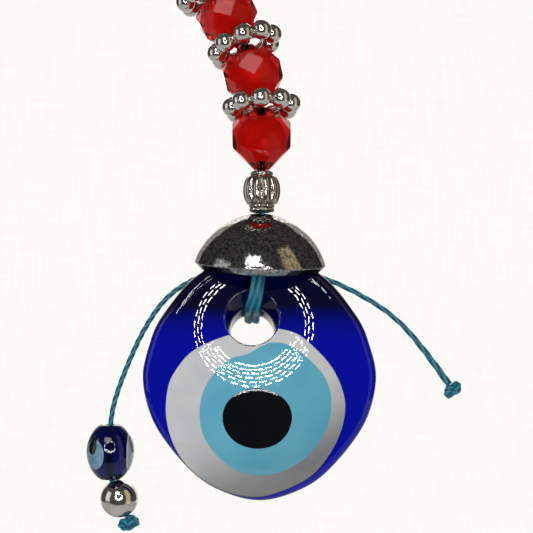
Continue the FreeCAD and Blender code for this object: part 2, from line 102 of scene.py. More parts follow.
def surface(name, values):
    """Principled material from a table of its inputs; returns (material, tree, shader)."""
    material = bpy.data.materials.new(name)
    material.use_nodes = True
    tree = material.node_tree
    shader = tree.nodes["Principled BSDF"]
    for key, value in values.items():
        if isinstance(value, tuple):
            value = (*value, 1.0)
        shader.inputs[key].default_value = value
    return material, tree, shader


def noise(tree, scale, detail=3.0, stretch=(1, 1, 1), roughness=0.55):
    """Noise in the object's own coordinates; scale is features per millimetre."""
    place = tree.nodes.new("ShaderNodeTexCoord")
    mapping = tree.nodes.new("ShaderNodeMapping")
    mapping.inputs["Scale"].default_value = [s / MM for s in stretch]
    texture = tree.nodes.new("ShaderNodeTexNoise")
    texture.inputs["Scale"].default_value = scale
    texture.inputs["Detail"].default_value = detail
    texture.inputs["Roughness"].default_value = roughness
    tree.links.new(place.outputs["Object"], mapping.inputs["Vector"])
    tree.links.new(mapping.outputs["Vector"], texture.inputs["Vector"])
    return texture.outputs["Fac"]


def ramp(tree, factor, stops):
    node = tree.nodes.new("ShaderNodeValToRGB")
    elements = node.color_ramp.elements
    while len(elements) < len(stops):
        elements.new(0.5)
    for element, (place, colour) in zip(elements, stops):
        element.position = place
        element.color = (*colour, 1.0)
    tree.links.new(factor, node.inputs["Fac"])
    return node.outputs["Color"]


def spread(tree, factor, low, high):
    """Map the middle of a noise to a range of values."""
    node = tree.nodes.new("ShaderNodeMapRange")
    node.inputs["From Min"].default_value = 0.3
    node.inputs["From Max"].default_value = 0.7
    node.inputs["To Min"].default_value = low
    node.inputs["To Max"].default_value = high
    tree.links.new(factor, node.inputs["Value"])
    return node.outputs["Result"]


def bump(tree, shader, height, strength, depth_mm, normal="Normal"):
    node = tree.nodes.new("ShaderNodeBump")
    node.inputs["Strength"].default_value = strength
    node.inputs["Distance"].default_value = depth_mm * MM
    tree.links.new(height, node.inputs["Height"])
    tree.links.new(node.outputs["Normal"], shader.inputs[normal])


def cord_material():
    """Waxed twisted cord, with painted shade in the grooves between plies and a painted highlight along their
    crowns.
    """
    material, tree, shader = surface("teal_waxed_cord", {
        "Roughness": 0.45, "Coat Weight": 0.08, "Coat Roughness": 0.3,
        "Sheen Weight": 0.1, "Sheen Tint": (0.3, 0.8, 0.95),
    })
    # Painted shade and highlight, read from the mesh: dark in the grooves between plies, pale on their
    # crowns.
    painted_ply_shade = tree.nodes.new("ShaderNodeAttribute")
    painted_ply_shade.attribute_name = "painted_ply_shade"
    fibres = noise(tree, 5.0, 4.0)
    mixed = tree.nodes.new("ShaderNodeMath")
    mixed.operation = "MULTIPLY_ADD"
    mixed.inputs[1].default_value = 0.5
    tree.links.new(fibres, mixed.inputs[0])
    tree.links.new(painted_ply_shade.outputs["Fac"], mixed.inputs[2])
    colour = ramp(tree, mixed.outputs["Value"], [
        (0.25, (0.0, 0.035, 0.075)), (0.7, (0.0, 0.13, 0.22)), (1.1, (0.008, 0.27, 0.38)),
    ])
    tree.links.new(colour, shader.inputs["Base Color"])
    bump(tree, shader, fibres, 0.4, 0.03)
    return material


def metal_material(name, low, high, roughness, grain, grain_depth, tarnish=1.2, edge=(0.7, 0.68, 0.65)):
    """Plated metal: a tone that wanders a little, with fine pits; edge tints its grazing reflections."""
    material, tree, shader = surface(name, {"Metallic": 1.0, "Specular Tint": edge})
    colour = ramp(tree, noise(tree, tarnish, 2.0), [(0.35, low), (0.65, high)])
    tree.links.new(colour, shader.inputs["Base Color"])
    pits = noise(tree, grain, 2.0)
    tree.links.new(spread(tree, pits, *roughness), shader.inputs["Roughness"])
    bump(tree, shader, pits, 0.4, grain_depth)
    return material


def glass_material(name, stops, roughness, wave_depth, transmission, painted_top_shade=None):
    """Pressed glass with a slow ripple in its face; painted_top_shade paints shade on it towards its top and
    its rim.
    """
    material, tree, shader = surface(name, {
        "Roughness": roughness, "IOR": 1.5, "Transmission Weight": transmission,
    })
    factor = noise(tree, 0.12, 2.0)
    # Painted shade: darker towards the top, below the cap, and towards the rim where the face turns away from
    # the camera.
    if painted_top_shade is not None:
        low, high = painted_top_shade
        place = tree.nodes.new("ShaderNodeTexCoord")
        split = tree.nodes.new("ShaderNodeSeparateXYZ")
        height = tree.nodes.new("ShaderNodeMapRange")
        height.inputs["From Min"].default_value = low * MM
        height.inputs["From Max"].default_value = high * MM
        height.interpolation_type = "SMOOTHSTEP"
        blend = tree.nodes.new("ShaderNodeMath")
        blend.operation = "MULTIPLY_ADD"
        blend.inputs[1].default_value = 0.25
        tree.links.new(place.outputs["Object"], split.inputs["Vector"])
        tree.links.new(split.outputs["Z"], height.inputs["Value"])
        tree.links.new(factor, blend.inputs[0])
        tree.links.new(height.outputs["Result"], blend.inputs[2])
        edge = tree.nodes.new("ShaderNodeLayerWeight")
        edge.inputs["Blend"].default_value = 0.4
        rim = tree.nodes.new("ShaderNodeMath")
        rim.operation = "MULTIPLY_ADD"
        rim.inputs[1].default_value = 0.8
        tree.links.new(edge.outputs["Facing"], rim.inputs[0])
        tree.links.new(blend.outputs["Value"], rim.inputs[2])
        factor = rim.outputs["Value"]
    tree.links.new(ramp(tree, factor, stops), shader.inputs["Base Color"])
    bump(tree, shader, noise(tree, 0.35, 1.0), 0.3, wave_depth)
    return material


def enamel_material(name, low, high, scale, roughness=0.03, painted_lower_right_shade=None):
    """Opaque glass: a cloudy tone under a glossy face; painted_lower_right_shade paints shade on it towards
    its lower right.
    """
    material, tree, shader = surface(name, {
        "Roughness": roughness, "IOR": 1.5, "Subsurface Weight": 0.15,
        "Subsurface Scale": 0.4 * MM, "Coat Weight": 0.4, "Coat Roughness": 0.02,
    })
    cloud = noise(tree, scale, 3.0)
    tone = ramp(tree, cloud, [(0.35, low), (0.65, high)])
    # Painted shade: the tone darkens towards the lower right.
    if painted_lower_right_shade is not None:
        start, end, darkest = painted_lower_right_shade
        place = tree.nodes.new("ShaderNodeTexCoord")
        slope = tree.nodes.new("ShaderNodeVectorMath")
        slope.operation = "DOT_PRODUCT"
        slope.inputs[1].default_value = (0.5, 0.0, -1.0)
        shade = tree.nodes.new("ShaderNodeMapRange")
        shade.interpolation_type = "SMOOTHSTEP"
        shade.inputs["From Min"].default_value = start * MM
        shade.inputs["From Max"].default_value = end * MM
        shade.inputs["To Min"].default_value = 1.0
        shade.inputs["To Max"].default_value = darkest
        dimmed = tree.nodes.new("ShaderNodeVectorMath")
        dimmed.operation = "SCALE"
        tree.links.new(place.outputs["Object"], slope.inputs[0])
        tree.links.new(slope.outputs["Value"], shade.inputs["Value"])
        tree.links.new(tone, dimmed.inputs[0])
        tree.links.new(shade.outputs["Result"], dimmed.inputs["Scale"])
        tone = dimmed.outputs["Vector"]
    tree.links.new(tone, shader.inputs["Base Color"])
    bump(tree, shader, noise(tree, 0.35, 1.0), 0.3, 0.025)
    return material


TEAL = cord_material()
CHROME = metal_material("nickel_plate", (0.74, 0.71, 0.66), (0.84, 0.82, 0.78), (0.06, 0.16), 3.0, 0.012)
CAP_CHROME = metal_material(
    "spun_nickel_plate", (0.14, 0.15, 0.17), (0.6, 0.58, 0.54), (0.05, 0.16), 3.0, 0.02, 2.2,
    edge=(0.4, 0.39, 0.36),
)
DARK_METAL = metal_material(
    "dark_nickel_plate", (0.34, 0.31, 0.28), (0.62, 0.58, 0.53), (0.08, 0.22), 2.0, 0.012
)
# The disc's glass carries painted shade towards its top and its rim.
COBALT = glass_material("cobalt_glass", [
    (0.12, (0.0, 0.003, 0.36)), (0.45, (0.0, 0.002, 0.21)), (0.8, (0.0004, 0.001, 0.02)),
], 0.02, 0.03, 1.0, painted_top_shade=(-103.0, -92.0))
BEAD_COBALT = glass_material("dark_cobalt_glass", [
    (0.3, (0.0, 0.005, 0.17)), (0.7, (0.001, 0.003, 0.06)),
], 0.04, 0.05, 0.85)
# The white and light blue layers carry painted shade towards their lower right.
WHITE = enamel_material(
    "white_glass", (0.63, 0.66, 0.69), (0.72, 0.75, 0.77), 0.12, painted_lower_right_shade=(117.0, 132.0, 0.36)
)
LIGHT_BLUE = enamel_material(
    "light_blue_glass", (0.13, 0.47, 0.66), (0.16, 0.52, 0.70), 0.15, painted_lower_right_shade=(120.0, 136.0, 0.8)
)
BLACK = enamel_material("black_glass", (0.0004, 0.0016, 0.004), (0.001, 0.003, 0.006), 0.4)
IRIS = enamel_material("pale_blue_glass", (0.08, 0.25, 0.42), (0.3, 0.45, 0.58), 0.6, 0.12)
GREY_EYE = enamel_material("grey_white_glass", (0.32, 0.38, 0.45), (0.5, 0.54, 0.6), 0.6, 0.12)


def acrylic_material():
    material, tree, shader = surface("clear_red_acrylic", {
        "Roughness": 0.015, "IOR": 1.2, "Transmission Weight": 1.0, "Coat Weight": 0.3,
        "Coat Roughness": 0.01, "Coat IOR": 1.45,
    })
    colour = ramp(tree, noise(tree, 0.3, 2.0), [(0.3, (0.42, 0.01, 0.014)), (0.7, (0.55, 0.018, 0.02))])
    tree.links.new(colour, shader.inputs["Base Color"])
    bump(tree, shader, noise(tree, 0.7, 2.0), 0.25, 0.03)
    return material


def core_material():
    # Painted light: the core's emission makes it glow a little, though it is no lamp.
    material, tree, shader = surface("solid_red_acrylic_painted_glow", {
        "Roughness": 0.3, "Emission Color": (1.0, 0.07, 0.015), "Emission Strength": 0.17,
    })
    colour = ramp(tree, noise(tree, 0.3, 3.0), [(0.3, (0.9, 0.06, 0.015)), (0.7, (1.0, 0.1, 0.03))])
    tree.links.new(colour, shader.inputs["Base Color"])
    return material


CLEAR_RED = acrylic_material()
SOLID_RED = core_material()


# ---------------------------------------------------------------- mesh helpers

def finish_piece(obj, body, slot, *nodes):
    """Put a piece on its body and hide the CAD nodes that it stands for; slot is not used."""
    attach(obj, body)
    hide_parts(*nodes)
    return obj


def mesh_object(name, mesh, material, smooth=True):
    mesh.materials.append(material)
    mesh.polygons.foreach_set("use_smooth", [smooth] * len(mesh.polygons))
    obj = bpy.data.objects.new(name, mesh)
    scene.collection.objects.link(obj)
    return obj


def skinned(name, rows, material, capped=True, joined=False, painted_ply_shades=None):
    """Quads between rings of points. capped closes the end rings, joined ties last to first."""
    sides = len(rows[0])
    points = [tuple(point) for row in rows for point in row]
    faces = []
    pairs = list(zip(range(len(rows)), range(1, len(rows))))
    if joined:
        pairs.append((len(rows) - 1, 0))
    for low, high in pairs:
        for side in range(sides):
            after = (side + 1) % sides
            faces.append((low * sides + side, low * sides + after, high * sides + after, high * sides + side))
    if capped:
        faces.append(tuple(reversed(range(sides))))
        faces.append(tuple(range((len(rows) - 1) * sides, len(rows) * sides)))
    mesh = bpy.data.meshes.new(name)
    mesh.from_pydata(points, [], faces)
    work = bmesh.new()
    work.from_mesh(mesh)
    bmesh.ops.recalc_face_normals(work, faces=work.faces)
    work.to_mesh(mesh)
    work.free()
    # Painted shade and highlight for the cord's colour, one value per point.
    if painted_ply_shades is not None:
        shade = mesh.attributes.new("painted_ply_shade", "FLOAT", "POINT")
        shade.data.foreach_set("value", [painted_ply_shade for row in painted_ply_shades for painted_ply_shade in row])
    return mesh_object(name, mesh, material)


def turn_to(axis):
    """Rotation that takes +Z to the axis by the shortest way."""
    return UP.rotation_difference(axis)


def place_rows(rows, origin, turn):
    return [[origin + turn @ (point * MM) for point in row] for row in rows]


def ring(sides, radius, height, lobes=None):
    """Ring of points in mm; lobes maps an angle to a factor on the radius."""
    row = []
    for side in range(sides):
        angle = 2 * math.pi * side / sides
        r = radius * (lobes(angle) if lobes else 1.0)
        row.append(Vector((r * math.cos(angle), r * math.sin(angle), height)))
    return row


# ---------------------------------------------------------------- cords

def spline_points(route, steps=24):
    """Points along the NURBS line that a given route controls."""
    curve = bpy.data.curves.new("route", "CURVE")
    curve.dimensions = "3D"
    curve.resolution_u = steps
    spline = curve.splines.new("NURBS")
    spline.points.add(len(route) - 1)
    for knot_point, place in zip(spline.points, route):
        knot_point.co = (*at(*place), 1.0)
    spline.order_u = 3
    spline.use_endpoint_u = True
    holder = bpy.data.objects.new("route", curve)
    mesh = bpy.data.meshes.new_from_object(holder)
    points = [vertex.co.copy() for vertex in mesh.vertices]
    bpy.data.objects.remove(holder)
    bpy.data.curves.remove(curve)
    bpy.data.meshes.remove(mesh)
    return points


def line_points(start, end, count):
    return [start.lerp(end, step / (count - 1)) for step in range(count)]


def ply_profile(plies, angle):
    """Radius of a bundle of round plies at an angle, as a share of its outer radius."""
    sector = 2 * math.pi / plies
    away = (angle + sector / 2) % sector - sector / 2
    offset, ply = (0.5, 0.5) if plies == 2 else (0.46, 0.54)
    root = max(ply ** 2 - (offset * math.sin(away)) ** 2, 0.0)
    return offset * math.cos(away) + math.sqrt(root)


def rope(name, path, radius, plies=3, pitch=5.0, groove=0.6, sides=24, widths=None, closed=False):
    """Twisted cord along a path. A groove of 1 is full depth; widths maps a share of length to a factor."""
    count = len(path)
    headings = []
    for index in range(count):
        before = path[index - 1] if closed or index else path[0]
        after = path[(index + 1) % count] if closed or index < count - 1 else path[-1]
        headings.append((after - before).normalized())
    normal = headings[0].orthogonal().normalized()
    rows, painted_ply_shades = [], []
    travelled = 0.0
    total = sum((b - a).length for a, b in zip(path, path[1:]))
    for index, (point, heading) in enumerate(zip(path, headings)):
        if index:
            travelled += (point - path[index - 1]).length
            normal = headings[index - 1].rotation_difference(heading) @ normal
        binormal = heading.cross(normal)
        factor = widths(travelled / total) if widths else 1.0
        twist = 2 * math.pi * travelled / (pitch * MM)
        row, shade = [], []
        for side in range(sides):
            angle = 2 * math.pi * side / sides
            share = ply_profile(plies, angle)
            reach = radius * MM * factor * (1.0 - groove * (1.0 - share))
            way = angle + twist
            row.append(point + (normal * math.cos(way) + binormal * math.sin(way)) * reach)
            # Painted shade and highlight: low in the grooves between plies, high on their crowns.
            shade.append(0.75 * (share - 0.55) / 0.45)
        rows.append(row)
        painted_ply_shades.append(shade)
    return skinned(name, rows, TEAL, capped=not closed, joined=closed, painted_ply_shades=painted_ply_shades)


def knotted(name, centre, axis, reach, cord_radius, spin):
    """Tight overhand knot, drawn as a trefoil of twisted cord round its axis."""
    turn = turn_to(axis) @ Quaternion(UP, spin)
    size = (reach - cord_radius) / 3.0
    path = []
    steps = 160
    for step in range(steps):
        t = 2 * math.pi * step / steps
        path.append(centre + turn @ at(
            size * (math.sin(t) + 2 * math.sin(2 * t)),
            size * (math.cos(t) - 2 * math.cos(2 * t)),
            -size * 1.05 * math.sin(3 * t),
        ))
    return rope(name, path, cord_radius, plies=3, pitch=2.6, sides=18, closed=True)


# ---------------------------------------------------------------- free side cords

LEFT_ROUTE = [
    (5.2, -1.4, -90.6), (1.4, -1.6, -92.1), (-2.7, -2.0, -95.1), (-6.0, -2.5, -100.1),
    (-8.6, -2.9, -105.9), (-10.55, -3.1, -111.3), (-11.2, -3.1, -115.1), (-11.2, -3.1, -119.5),
    (-11.2, -3.1, -123.6), (-9.75, -3.1, -126.9), (-8.6, -3.1, -129.7),
]
RIGHT_ROUTE = [
    (18.6, -1.4, -90.4), (22.6, -1.6, -91.5), (28.2, -2.0, -94.0), (34.0, -2.6, -97.6),
    (38.6, -3.0, -102.6), (42.9, -3.2, -108.7),
]
CORD_RADIUS = 0.425


def path_length(path):
    return sum((b - a).length for a, b in zip(path, path[1:]))


def loosening(share):
    """The right cord's twist opens over its last third."""
    opened = max(0.0, (share - 0.6) / 0.4)
    return 1.0 + 0.38 * opened


left_path = spline_points(LEFT_ROUTE)
right_path = spline_points(RIGHT_ROUTE)
left_cord = rope("left_twisted_cord", left_path, CORD_RADIUS)
right_cord = rope("right_twisted_cord", right_path, CORD_RADIUS, pitch=9.0, widths=loosening)
finish_piece(left_cord, "left_side", "teal_cord", "left_cord", "left_bead_cord", "left_ball_cord")
finish_piece(right_cord, "right_side", "teal_cord", "right_cord")

BALL_AXIS = joint_axis("silver_ball_spin")
ball_centre = joint_point("silver_ball_spin")
left_end = ball_centre - BALL_AXIS * (4.2 * MM)
left_knot = knotted("left_stopper_knot", left_end, BALL_AXIS, 1.9, 0.75, 0.4)
finish_piece(left_knot, "left_side", "teal_cord", "left_end_knot")
right_heading = (right_path[-1] - right_path[-2]).normalized()
right_end = right_path[-1] + right_heading * MM
right_knot = knotted("right_stopper_knot", right_end, right_heading, 1.75, 0.62, 1.1)
finish_piece(right_knot, "right_side", "teal_cord", "right_end_knot")

LEFT_ROOT = [(11.5, -3.9, -85.0), (10.2, -1.7, -88.3), (8.2, -1.3, -89.9), (5.1, -1.42, -90.62)]
RIGHT_ROOT = [(15.1, -3.9, -85.0), (15.6, -1.7, -88.2), (16.7, -1.35, -89.6), (18.7, -1.42, -90.42)]
for name, route in (("left", LEFT_ROOT), ("right", RIGHT_ROOT)):
    root = rope(name + "_cord_start", spline_points(route), CORD_RADIUS)
    finish_piece(root, "pendant", "teal_cord", name + "_cord_root")

# The two strands that carry the glass: down in front of it, through its hole and up behind it.
# Their plies lie almost straight and a little open, so they are wider than the side cords.
STRAND_RADIUS = 0.68
STRAND_ROUTES = {
    "left": [
        (12.6, -6.2, -85.3), (12.15, -8.5, -89.6), (11.75, -9.3, -94.2), (11.05, -8.2, -96.4),
        (10.85, -4.7, -97.1), (10.85, -0.9, -98.9), (10.95, 0.55, -97.5), (11.2, -0.2, -94.0),
        (12.0, -0.9, -89.9), (12.75, -3.0, -85.4),
    ],
    "right": [
        (13.55, -6.2, -85.3), (13.15, -8.5, -89.6), (12.6, -9.3, -94.2), (12.15, -8.2, -96.4),
        (12.05, -4.7, -97.1), (12.0, -0.9, -98.9), (12.1, 0.55, -97.5), (12.4, -0.2, -94.0),
        (13.2, -0.9, -89.9), (13.95, -3.0, -85.4),
    ],
}
for name, route in STRAND_ROUTES.items():
    strand = rope("pendant_strand_" + name, spline_points(route), STRAND_RADIUS, pitch=26.0, groove=0.5)
    finish_piece(strand, "pendant", "teal_cord", "pendant_cord_" + name)

# ---------------------------------------------------------------- hanging loop and knots

LOOP_HEIGHT = 25.9
LOOP_BEND = 4.2


def loop_path():
    """Two legs from the knot, tangent to the round bend that goes over a hook."""
    centre = Vector((0, CORD_RADIUS - LOOP_BEND))
    foot = Vector((CORD_RADIUS * 1.25, -LOOP_HEIGHT))
    reach = foot - centre
    swing = math.acos(LOOP_BEND / reach.length) + math.atan2(reach.y, reach.x)
    path = []
    leg_steps = 60
    touch = centre + Vector((math.cos(swing), math.sin(swing))) * LOOP_BEND
    for step in range(leg_steps):
        point = foot.lerp(touch, step / leg_steps)
        path.append(at(-point.x, 0, point.y))
    bend_steps = 72
    for step in range(bend_steps + 1):
        angle = math.pi - swing + (2 * swing - math.pi) * step / bend_steps
        path.append(at(
            centre.x + LOOP_BEND * math.cos(angle), 0, centre.y + LOOP_BEND * math.sin(angle)
        ))
    path += [Vector((-point.x, point.y, point.z)) for point in reversed(path[:leg_steps])]
    return path


finish_piece(rope("hanging_loop_cord", loop_path(), CORD_RADIUS), "hanger", "teal_cord", "hanging_loop")
loop_knot = knotted("strand_top_knot", joint_point("knot_swing"), UP, 1.8, 0.7, 0.0)
finish_piece(loop_knot, "hanger", "teal_cord", "loop_knot")
cap_knot = knotted("knot_under_cap", joint_point("pendant_swing"), UP, 1.8, 0.7, 0.7)
finish_piece(cap_knot, "link_1", "teal_cord", "cap_knot")

# ---------------------------------------------------------------- fluted beads

BORE = 0.68


def fluted_rows():
    """Ten round ribs on a barrel between a grained collar on top and a double one below."""
    sides = 120

    def ribs(depth):
        return lambda angle: 1.0 - depth + depth * abs(math.cos(5 * angle)) ** 0.75

    def grains(depth, half_step):
        return lambda angle: 1.0 - depth + depth * abs(math.cos(7 * angle + half_step)) ** 0.8

    rows = [ring(sides, BORE, 3.15), ring(sides, 1.35, 3.2)]
    for turn in range(7):
        a = math.pi * turn / 6
        rows.append(ring(sides, 1.5 + 0.33 * math.sin(a), 2.78 + 0.38 * math.cos(a), grains(0.06, 0.0)))
    barrel_steps = 26
    for step in range(barrel_steps + 1):
        height = 2.28 - 4.36 * step / barrel_steps
        bulge = math.sqrt(max(0.0, 1.0 - ((height - 0.1) / 2.55) ** 2))
        rows.append(ring(sides, 1.62 + 1.34 * bulge, height, ribs(0.03 + 0.15 * bulge)))
    for centre, half_step in ((-2.4, 0.0), (-3.02, 1.57)):
        for turn in range(7):
            a = math.pi * turn / 6
            radius = 1.68 + 0.36 * math.sin(a)
            rows.append(ring(sides, radius, centre + 0.32 * math.cos(a), grains(0.12, half_step)))
    rows += [ring(sides, 1.35, -3.42), ring(sides, BORE, -3.37)]
    return rows


def fluted_bead(name, link, spin_joint, body, node, offset):
    """offset is the bead's middle from the link's top, down the strand."""
    axis = joint_axis(spin_joint)
    middle = link - axis * (offset * MM)
    rows = place_rows(fluted_rows(), middle, turn_to(axis))
    bead = skinned(name, rows, DARK_METAL, capped=False, joined=True)
    return finish_piece(bead, body, "dark_metal", node)


def middle_of(node):
    low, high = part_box(node)
    return (low + high) / 2


RED_HEIGHT = 9.8
SEAT = 0.35
FLUTED_HEIGHT = 6.6
BEAD_PLAY = 0.15
UPPER_DROP = 2 * BEAD_PLAY + FLUTED_HEIGHT / 2
LINK_TOPS = {
    4: middle_of("fluted_bead_top") + joint_axis("fluted_top_spin") * (UPPER_DROP * MM),
    3: joint_point("strand_bend_3"),
    2: joint_point("strand_bend_2"),
    1: joint_point("strand_bend_1"),
}
SPINS = {4: "red_4_spin", 3: "red_3_spin", 2: "red_2_spin", 1: "red_1_spin"}
fluted_bead("fluted_bead_upper", LINK_TOPS[4], "fluted_top_spin", "fluted_top",
            "fluted_bead_top", UPPER_DROP)
fluted_bead("fluted_bead_lower", LINK_TOPS[1], "fluted_bottom_spin", "fluted_bottom",
            "fluted_bead_bottom", SEAT + RED_HEIGHT + BEAD_PLAY + FLUTED_HEIGHT / 2)

# ---------------------------------------------------------------- red beads

RED_MIDDLE = 4.9
CORE_RADIUS = 3.5
# Tilt in degrees, distance from the bead's middle and turn in facets of each belt of facets.
BELTS = ((-44.0, 4.3, 0.0), (-22.0, 4.4, 0.5), (0.0, 4.62, 0.0), (26.0, 4.95, 0.5))
FACETS = 8


def lathe_bmesh(profile, sides, phase=0.0):
    """Solid turned from an open (radius, height) profile, both ends closed."""
    work = bmesh.new()
    rings = []
    for radius, height in profile:
        rings.append([
            work.verts.new((
                radius * math.cos(2 * math.pi * (side + phase) / sides),
                radius * math.sin(2 * math.pi * (side + phase) / sides),
                height,
            ))
            for side in range(sides)
        ])
    for low, high in zip(rings, rings[1:]):
        for side in range(sides):
            after = (side + 1) % sides
            work.faces.new((low[side], low[after], high[after], high[side]))
    work.faces.new(list(reversed(rings[0])))
    work.faces.new(rings[-1])
    bmesh.ops.recalc_face_normals(work, faces=work.faces)
    return work


def temporary(work, name):
    mesh = bpy.data.meshes.new(name)
    work.to_mesh(mesh)
    work.free()
    obj = bpy.data.objects.new(name, mesh)
    scene.collection.objects.link(obj)
    return obj


def baked(obj, name):
    """Mesh of an object with its modifiers applied; the object is removed."""
    bpy.context.view_layer.update()
    mesh = bpy.data.meshes.new_from_object(obj.evaluated_get(bpy.context.evaluated_depsgraph_get()))
    mesh.name = name
    bpy.data.objects.remove(obj)
    return mesh


def red_shell_mesh():
    """Four belts of cut facets, a flange, a neck and a bore, in mm."""
    work = lathe_bmesh([(1.35, -0.12), (1.6, 0.0), (7.0, 4.23), (7.0, 7.95)], 64)
    centre = Vector((0, 0, RED_MIDDLE))
    for tilt, distance, half_step in BELTS:
        slope = math.radians(tilt)
        for index in range(FACETS):
            bearing = 2 * math.pi * (index + half_step) / FACETS
            normal = Vector((
                math.cos(slope) * math.cos(bearing), math.cos(slope) * math.sin(bearing), math.sin(slope)
            ))
            cut = bmesh.ops.bisect_plane(
                work, geom=work.verts[:] + work.edges[:] + work.faces[:], dist=1e-5,
                plane_co=centre + normal * distance, plane_no=normal, clear_outer=True,
            )
            edges = [item for item in cut["geom_cut"] if isinstance(item, bmesh.types.BMEdge)]
            if edges:
                bmesh.ops.contextual_create(work, geom=edges)
    bmesh.ops.dissolve_limit(work, angle_limit=math.radians(2), verts=work.verts, edges=work.edges)
    bmesh.ops.recalc_face_normals(work, faces=work.faces)
    body = temporary(work, "red_body")
    flange_profile = [(3.2, 7.2), (3.85, 7.45), (4.15, 7.8), (4.1, 7.95), (2.4, 7.95), (1.5, 9.8)]
    flange = temporary(lathe_bmesh(flange_profile, 48), "red_flange")
    bore = temporary(lathe_bmesh([(BORE, -1.0), (BORE, 11.0)], 24), "red_bore")
    for tool, operation in ((flange, "UNION"), (bore, "DIFFERENCE")):
        modifier = body.modifiers.new(operation, "BOOLEAN")
        modifier.object = tool
        modifier.operation = operation
        modifier.solver = "EXACT"
    bevel = body.modifiers.new("edges", "BEVEL")
    bevel.width = 0.06
    bevel.segments = 2
    bevel.limit_method = "ANGLE"
    bevel.angle_limit = math.radians(12)
    mesh = baked(body, "red_shell_shape")
    bpy.data.objects.remove(flange)
    bpy.data.objects.remove(bore)
    return mesh


def ball_rows(radius, bore, steps=30, sides=48, wobble=0.0, seed=0):
    """Bored ball: its outside from pole to pole, then the wall of its bore."""
    lift = math.asin(bore / radius)
    rows = []
    for step in range(steps + 1):
        polar = lift + (math.pi - 2 * lift) * step / steps
        rows.append(ring(sides, radius * math.sin(polar), radius * math.cos(polar)))
    if wobble:
        draw = random.Random(seed)
        waves = [(draw.randint(2, 5), draw.uniform(0, 6.28), draw.uniform(0.6, 1.4)) for _ in range(5)]
        for row in rows:
            for point in row:
                angle = math.atan2(point.y, point.x)
                swell = sum(math.sin(k * angle + phase + rate * point.z) for k, phase, rate in waves)
                point *= 1.0 + wobble * swell / len(waves)
    return rows


shell_shape = red_shell_mesh()
for link in (4, 3, 2, 1):
    axis = joint_axis(SPINS[link])
    turn = turn_to(axis)
    if link == 4:
        low = middle_of("red_core_4") - axis * (RED_MIDDLE * MM)
    else:
        low = LINK_TOPS[link] - axis * ((SEAT + RED_HEIGHT) * MM)
    mesh = shell_shape.copy()
    for vertex in mesh.vertices:
        vertex.co = low + turn @ (vertex.co * MM)
    shell = mesh_object("cut_red_bead_%d" % link, mesh, CLEAR_RED, smooth=False)
    finish_piece(shell, "red_%d" % link, "clear_red", "red_shell_%d" % link)
    middle = low + axis * (RED_MIDDLE * MM)
    core_rows = place_rows(ball_rows(CORE_RADIUS, BORE, wobble=0.012, seed=link), middle, turn)
    core = skinned("red_heart_%d" % link, core_rows, SOLID_RED, capped=False, joined=True)
    finish_piece(core, "red_%d" % link, "solid_red", "red_core_%d" % link)
bpy.data.meshes.remove(shell_shape)

# ---------------------------------------------------------------- ball spacers

BALLS = 9
BALL_CIRCLE = 4.75
BALL_RADIUS = 1.6


def spacer_mesh(name, centre, turn):
    """Nine cast balls round an open web, each joined to the next by a short neck."""
    work = bmesh.new()

    def add(rows, joined):
        rings = [[work.verts.new(point) for point in row] for row in rows]
        pairs = list(zip(rings, rings[1:])) + ([(rings[-1], rings[0])] if joined else [])
        for low, high in pairs:
            for side in range(len(low)):
                after = (side + 1) % len(low)
                work.faces.new((low[side], low[after], high[after], high[side]))
        if not joined:
            work.faces.new(list(reversed(rings[0])))
            work.faces.new(rings[-1])

    for ball in range(BALLS):
        angle = 2 * math.pi * ball / BALLS - math.pi / 2
        middle = Vector((math.cos(angle), math.sin(angle), 0)) * BALL_CIRCLE
        rows = [
            [point + middle for point in row]
            for row in ball_rows(BALL_RADIUS, 0.03, steps=22, sides=36)
        ]
        add(rows, False)
        heading = Vector((-math.sin(angle + 0.35), math.cos(angle + 0.35), 0))
        neck_middle = Vector((math.cos(angle + math.pi / BALLS), math.sin(angle + math.pi / BALLS), 0))
        neck_middle *= BALL_CIRCLE * math.cos(math.pi / BALLS)
        neck_turn = UP.rotation_difference(heading)
        neck = [
            [neck_middle + neck_turn @ point for point in ring(16, radius, height)]
            for height, radius in ((-0.55, 0.95), (-0.3, 0.62), (0.0, 0.52), (0.3, 0.62), (0.55, 0.95))
        ]
        add(neck, False)
    web = [(2.6, -0.25), (2.7, -0.35), (3.6, -0.35), (3.8, 0.0), (3.6, 0.35), (2.7, 0.35), (2.6, 0.25)]
    add([ring(72, radius, height) for radius, height in web], True)
    bmesh.ops.recalc_face_normals(work, faces=work.faces)
    mesh = bpy.data.meshes.new(name)
    work.to_mesh(mesh)
    work.free()
    for vertex in mesh.vertices:
        vertex.co = centre + turn @ (vertex.co * MM)
    return mesh


for link in (3, 2, 1):
    joint = "spacer_%d_spin" % link
    name = "ball_ring_%d" % link
    mesh = spacer_mesh(name, LINK_TOPS[link], turn_to(joint_axis(joint)))
    finish_piece(mesh_object(name, mesh, CHROME), "spacer_%d" % link, "polished_metal",
                 "daisy_spacer_%d" % link)

# ---------------------------------------------------------------- cords inside the strand

CORE_CORD_RADIUS = 0.6
for link in (4, 3, 2, 1):
    axis = joint_axis(SPINS[link])
    low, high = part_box("core_cord_%d" % link)
    overhang = 2 * CORE_CORD_RADIUS * MM * math.sqrt(1 - axis.z ** 2)
    reach = (high.z - low.z - overhang) / axis.z / 2
    middle = (low + high) / 2
    path = line_points(middle + axis * reach, middle - axis * reach, 90)
    core = rope("twisted_core_%d" % link, path, CORE_CORD_RADIUS, plies=2, pitch=3.2)
    finish_piece(core, "link_%d" % link, "teal_cord", "core_cord_%d" % link)

# ---------------------------------------------------------------- cap

CAP_HEIGHT = 8.8
CAP_BEND = 11.5


